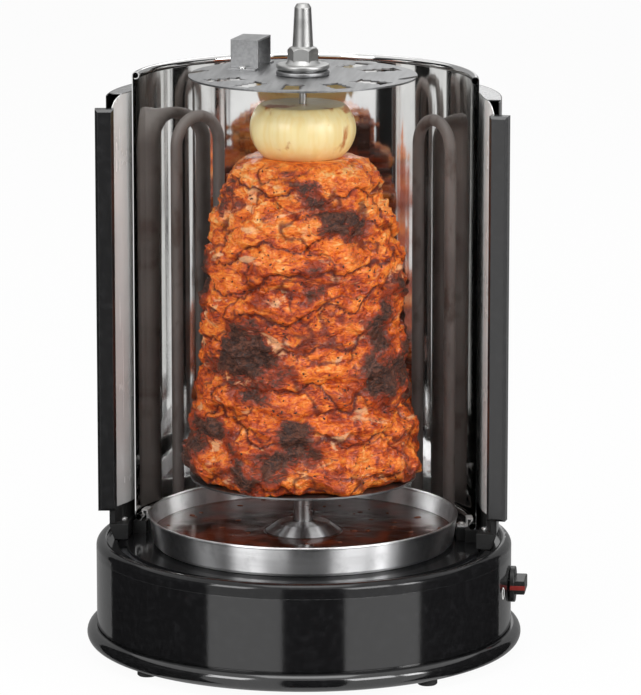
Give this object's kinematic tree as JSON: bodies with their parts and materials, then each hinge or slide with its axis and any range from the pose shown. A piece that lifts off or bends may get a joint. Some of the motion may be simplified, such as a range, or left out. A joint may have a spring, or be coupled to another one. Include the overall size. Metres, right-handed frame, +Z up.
{
  "type": "vertical electric skewer grill",
  "caption": "Table-top upright rotisserie: round base with motor, turning spit, curved mirror reflector, tube heaters, drip pan and sliding curved doors.",
  "frame": {"origin": "on the table, at the middle of the round base", "axes": "+Z up, -Y to the front (the open side of the chamber), +X to the switch side"},
  "size_m": [0.2938, 0.29, 0.432],
  "materials": {
    "black_enamel": "gloss",
    "black_deck": "gloss",
    "galvanised_sheet": "satin",
    "black_rubber": "matte",
    "bright_fastener": "gloss",
    "mirror_sheet": "mirror-bright",
    "black_plastic": "satin",
    "bright_steel": "bright",
    "element_sheath": "matte, heat-darkened",
    "white_ceramic": "matte",
    "tin_tab": "satin",
    "turned_steel": "turned",
    "bronze_bush": "satin",
    "switch_moulding": "matte",
    "satin_black_knob": "satin",
    "red_pointer": "satin",
    "white_print": "printed",
    "black_grommet": "satin",
    "pan_steel": "bright, wet with fat",
    "brown_drippings": "wet gloss",
    "satin_disc": "satin",
    "grip_aluminium": "turned",
    "roast_meat": "moist, browned",
    "onion_flesh": "moist",
    "black_skin": "gloss",
    "bright_cap": "bright",
    "charcoal_handle": "satin"
  },
  "bodies": {
    "base": {"base_pan": "black_enamel", "base_shell": "black_enamel", "shoulder_ring": "black_deck", "deck_plate": "black_deck", "door_track": "galvanised_sheet", "rubber_feet": "black_rubber", "base_screws": "bright_fastener", "track_screws": "bright_fastener", "reflector": "mirror_sheet", "reflector_seat": "black_plastic", "reflector_clips": "bright_steel", "clip_screws": "bright_fastener", "right_element": "element_sheath", "left_element": "element_sheath", "element_ferrules": "bright_fastener", "element_insulators": "white_ceramic", "element_tabs": "tin_tab", "motor_bracket": "galvanised_sheet", "motor_can": "galvanised_sheet", "motor_gearcase": "galvanised_sheet", "motor_screws": "bright_fastener", "shaft_bush": "bronze_bush", "switch_body": "switch_moulding", "switch_nut": "bright_fastener", "switch_marks": "white_print", "thermal_cutout": "tin_tab", "terminal_block": "switch_moulding", "cord_inlet": "black_grommet", "cord_clamp": "black_plastic"},
    "drive": {"motor_shaft": "turned_steel", "drive_shaft": "turned_steel"},
    "spit": {"spit_post": "turned_steel", "lower_disc": "satin_disc", "spit_rod": "turned_steel", "meat_cone": "roast_meat", "onion": "onion_flesh", "cone_nut": "grip_aluminium", "upper_disc": "satin_disc", "clamp_washer": "satin_disc", "top_grip": "grip_aluminium", "lifting_strap": "satin_disc", "strap_rivets": "bright_fastener"},
    "pan": {"drip_pan": "pan_steel", "drippings": "brown_drippings"},
    "knob": {"switch_knob": "satin_black_knob", "knob_pointer": "red_pointer"},
    "right_door": {"right_door_skin": "black_skin", "right_door_liner": "bright_steel", "right_door_cap": "bright_cap", "right_door_rail": "black_plastic", "right_door_shoe": "black_plastic", "right_door_handle": "charcoal_handle", "right_door_screws": "bright_fastener"},
    "left_door": {"left_door_skin": "black_skin", "left_door_liner": "bright_steel", "left_door_cap": "bright_cap", "left_door_rail": "black_plastic", "left_door_shoe": "black_plastic", "left_door_handle": "charcoal_handle", "left_door_screws": "bright_fastener"}
  },
  "joints": [
    {"name": "drive_spin", "type": "hinge", "parent": "base", "child": "drive", "pos_m": [0, -0.004, 0.0725], "axis": [0, 0, 1], "continuous": true},
    {"name": "spit_lift", "type": "slide", "parent": "drive", "child": "spit", "axis": [0, 0, 1], "range_m": [0, 0.06]},
    {"name": "pan_lift", "type": "slide", "parent": "base", "child": "pan", "axis": [0, 0, 1], "range_m": [0, 0.023]},
    {"name": "knob_turn", "type": "hinge", "parent": "base", "child": "knob", "pos_m": [0.1384, 0, 0.0455], "axis": [-1, 0, 0], "range_deg": [0, 180]},
    {"name": "right_door_slide", "type": "hinge", "parent": "base", "child": "right_door", "pos_m": [0, 0, 0], "axis": [0, 0, -1], "range_deg": [0, 81]},
    {"name": "left_door_slide", "type": "hinge", "parent": "base", "child": "left_door", "pos_m": [0, 0, 0], "axis": [0, 0, 1], "range_deg": [0, 81]}
  ]
}
